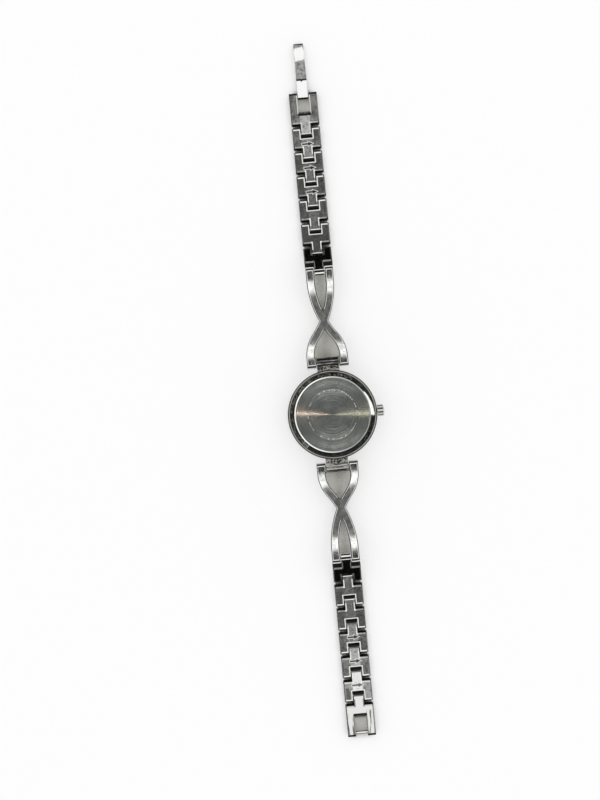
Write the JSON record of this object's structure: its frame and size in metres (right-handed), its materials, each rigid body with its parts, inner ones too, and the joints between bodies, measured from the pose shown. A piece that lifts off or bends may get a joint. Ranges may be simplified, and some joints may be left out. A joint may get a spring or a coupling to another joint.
{
  "type": "bracelet watch",
  "caption": "Small round quartz watch on a steel bracelet of criss-cross and T-shaped links, laid open and face down, with a fold-over strip clasp.",
  "frame": {"origin": "centre of the crystal's flat face, which lies on the table", "axes": "+Z towards the caseback, +Y along the six o'clock chain to the clasp, +X along the crown"},
  "size_m": [0.0276, 0.1992, 0.0073],
  "materials": {
    "case_steel": "brushed",
    "back_steel": "circular brushed",
    "bezel_steel": "polished",
    "link_steel": "fine brushed",
    "cross_steel": "polished",
    "pin_steel": "ground",
    "clasp_steel": "satin",
    "crystal_glass": "clear",
    "dial_paint": "satin",
    "hand_steel": "polished",
    "wheel_brass": "fine turned",
    "movement_steel": "grained",
    "battery_steel": "satin",
    "coil_copper": "enamelled wire",
    "board_green": "solder mask",
    "ring_plastic": "moulded",
    "gasket_rubber": "matte"
  },
  "bodies": {
    "case": {"case_body": "case_steel", "lug_pins": "pin_steel", "bezel": "bezel_steel", "crystal": "crystal_glass", "crystal_gasket": "ring_plastic", "dial_ring": "bezel_steel", "dial": "dial_paint", "hour_markers": "hand_steel", "main_plate": "movement_steel", "train_bridge": "movement_steel", "battery": "battery_steel", "coil": "coil_copper", "circuit_board": "board_green", "movement_ring": "ring_plastic", "caseback": "back_steel", "caseback_gasket": "gasket_rubber"},
    "setting_slide": {"setting_lever": "movement_steel"},
    "crown": {"crown": "bezel_steel", "crown_stem": "pin_steel"},
    "second_hand": {"second_hand": "hand_steel", "seconds_wheel": "wheel_brass"},
    "minute_hand": {"minute_hand": "hand_steel", "minute_wheel": "wheel_brass"},
    "hour_hand": {"hour_hand": "hand_steel", "hour_wheel": "wheel_brass"},
    "six_cross": {"six_cross_link": "cross_steel", "six_pin_1": "pin_steel"},
    "six_1": {"six_link_1": "link_steel", "six_pin_2": "pin_steel"},
    "six_2": {"six_link_2": "link_steel", "six_pin_3": "pin_steel"},
    "six_3": {"six_link_3": "link_steel", "six_pin_4": "pin_steel"},
    "six_4": {"six_link_4": "link_steel", "six_pin_5": "pin_steel"},
    "six_5": {"six_link_5": "link_steel", "six_pin_6": "pin_steel"},
    "six_6": {"six_link_6": "link_steel", "six_pin_7": "pin_steel"},
    "six_end": {"six_end_link": "link_steel", "six_end_bar": "pin_steel"},
    "twelve_cross": {"twelve_cross_link": "cross_steel", "twelve_pin_1": "pin_steel"},
    "twelve_1": {"twelve_link_1": "link_steel", "twelve_pin_2": "pin_steel"},
    "twelve_2": {"twelve_link_2": "link_steel", "twelve_pin_3": "pin_steel"},
    "twelve_3": {"twelve_link_3": "link_steel", "twelve_pin_4": "pin_steel"},
    "twelve_4": {"twelve_link_4": "link_steel", "twelve_pin_5": "pin_steel"},
    "twelve_5": {"twelve_link_5": "link_steel", "twelve_pin_6": "pin_steel"},
    "twelve_6": {"twelve_link_6": "link_steel", "twelve_pin_7": "pin_steel"},
    "twelve_end": {"twelve_end_link": "link_steel", "twelve_end_bar": "pin_steel"},
    "clasp_arm": {"clasp_arm": "clasp_steel", "clasp_pin": "pin_steel"},
    "clasp_lever": {"clasp_lever": "clasp_steel"}
  },
  "joints": [
    {"name": "crown_pull", "type": "slide", "parent": "case", "child": "setting_slide", "axis": [1, 0, 0], "range_m": [0, 0.001]},
    {"name": "crown_turn", "type": "hinge", "parent": "setting_slide", "child": "crown", "pos_m": [0.0138, 0, 0.0041], "axis": [1, 0, 0], "continuous": true},
    {"name": "second_hand_turn", "type": "hinge", "parent": "case", "child": "second_hand", "pos_m": [0, 0, 0.003], "axis": [0, 0, 1], "continuous": true},
    {"name": "minute_hand_turn", "type": "hinge", "parent": "case", "child": "minute_hand", "pos_m": [0, 0, 0.003], "axis": [0, 0, 1], "continuous": true},
    {"name": "hour_hand_turn", "type": "hinge", "parent": "case", "child": "hour_hand", "pos_m": [0, 0, 0.003], "axis": [0, 0, 1], "continuous": true},
    {"name": "six_lug_hinge", "type": "hinge", "parent": "case", "child": "six_cross", "pos_m": [0, 0.015, 0.005], "axis": [1, 0, 0], "range_deg": [0, 50]},
    {"name": "six_hinge_1", "type": "hinge", "parent": "six_cross", "child": "six_1", "pos_m": [0, 0.04078, 0.00593], "axis": [1, 0, 0], "range_deg": [-10, 80]},
    {"name": "six_hinge_2", "type": "hinge", "parent": "six_1", "child": "six_2", "pos_m": [0, 0.04637, 0.00188], "axis": [1, 0, 0], "range_deg": [-43, 7]},
    {"name": "six_hinge_3", "type": "hinge", "parent": "six_2", "child": "six_3", "pos_m": [0, 0.05324, 0.00128], "axis": [1, 0, 0], "range_deg": [-16, 34]},
    {"name": "six_hinge_4", "type": "hinge", "parent": "six_3", "child": "six_4", "pos_m": [0, 0.06014, 0.00118], "axis": [1, 0, 0], "range_deg": [-13, 37]},
    {"name": "six_hinge_5", "type": "hinge", "parent": "six_4", "child": "six_5", "pos_m": [0, 0.06704, 0.00115], "axis": [1, 0, 0], "range_deg": [-12, 38]},
    {"name": "six_hinge_6", "type": "hinge", "parent": "six_5", "child": "six_6", "pos_m": [0, 0.07394, 0.00115], "axis": [1, 0, 0], "range_deg": [-12, 38]},
    {"name": "six_hinge_7", "type": "hinge", "parent": "six_6", "child": "six_end", "pos_m": [0, 0.08084, 0.00115], "axis": [1, 0, 0], "range_deg": [-12, 38]},
    {"name": "twelve_lug_hinge", "type": "hinge", "parent": "case", "child": "twelve_cross", "pos_m": [0, -0.015, 0.005], "axis": [-1, 0, 0], "range_deg": [0, 50]},
    {"name": "twelve_hinge_1", "type": "hinge", "parent": "twelve_cross", "child": "twelve_1", "pos_m": [0, -0.04078, 0.00593], "axis": [-1, 0, 0], "range_deg": [-10, 80]},
    {"name": "twelve_hinge_2", "type": "hinge", "parent": "twelve_1", "child": "twelve_2", "pos_m": [0, -0.04637, 0.00188], "axis": [-1, 0, 0], "range_deg": [-43, 7]},
    {"name": "twelve_hinge_3", "type": "hinge", "parent": "twelve_2", "child": "twelve_3", "pos_m": [0, -0.05324, 0.00128], "axis": [-1, 0, 0], "range_deg": [-16, 34]},
    {"name": "twelve_hinge_4", "type": "hinge", "parent": "twelve_3", "child": "twelve_4", "pos_m": [0, -0.06014, 0.00118], "axis": [-1, 0, 0], "range_deg": [-13, 37]},
    {"name": "twelve_hinge_5", "type": "hinge", "parent": "twelve_4", "child": "twelve_5", "pos_m": [0, -0.06704, 0.00115], "axis": [-1, 0, 0], "range_deg": [-12, 38]},
    {"name": "twelve_hinge_6", "type": "hinge", "parent": "twelve_5", "child": "twelve_6", "pos_m": [0, -0.07394, 0.00115], "axis": [-1, 0, 0], "range_deg": [-12, 38]},
    {"name": "twelve_hinge_7", "type": "hinge", "parent": "twelve_6", "child": "twelve_end", "pos_m": [0, -0.08084, 0.00115], "axis": [-1, 0, 0], "range_deg": [-12, 38]},
    {"name": "clasp_arm_hinge", "type": "hinge", "parent": "six_end", "child": "clasp_arm", "pos_m": [0, 0.09154, 0.00115], "axis": [1, 0, 0], "range_deg": [-60, 90]},
    {"name": "clasp_lever_hinge", "type": "hinge", "parent": "clasp_arm", "child": "clasp_lever", "pos_m": [0, 0.09674, 0.0006], "axis": [-1, 0, 0], "range_deg": [0, 175]}
  ],
  "couplings": [
    {"joint": "minute_hand_turn", "follows": "second_hand_turn", "ratio": 0.016667},
    {"joint": "hour_hand_turn", "follows": "second_hand_turn", "ratio": 0.0013889}
  ]
}
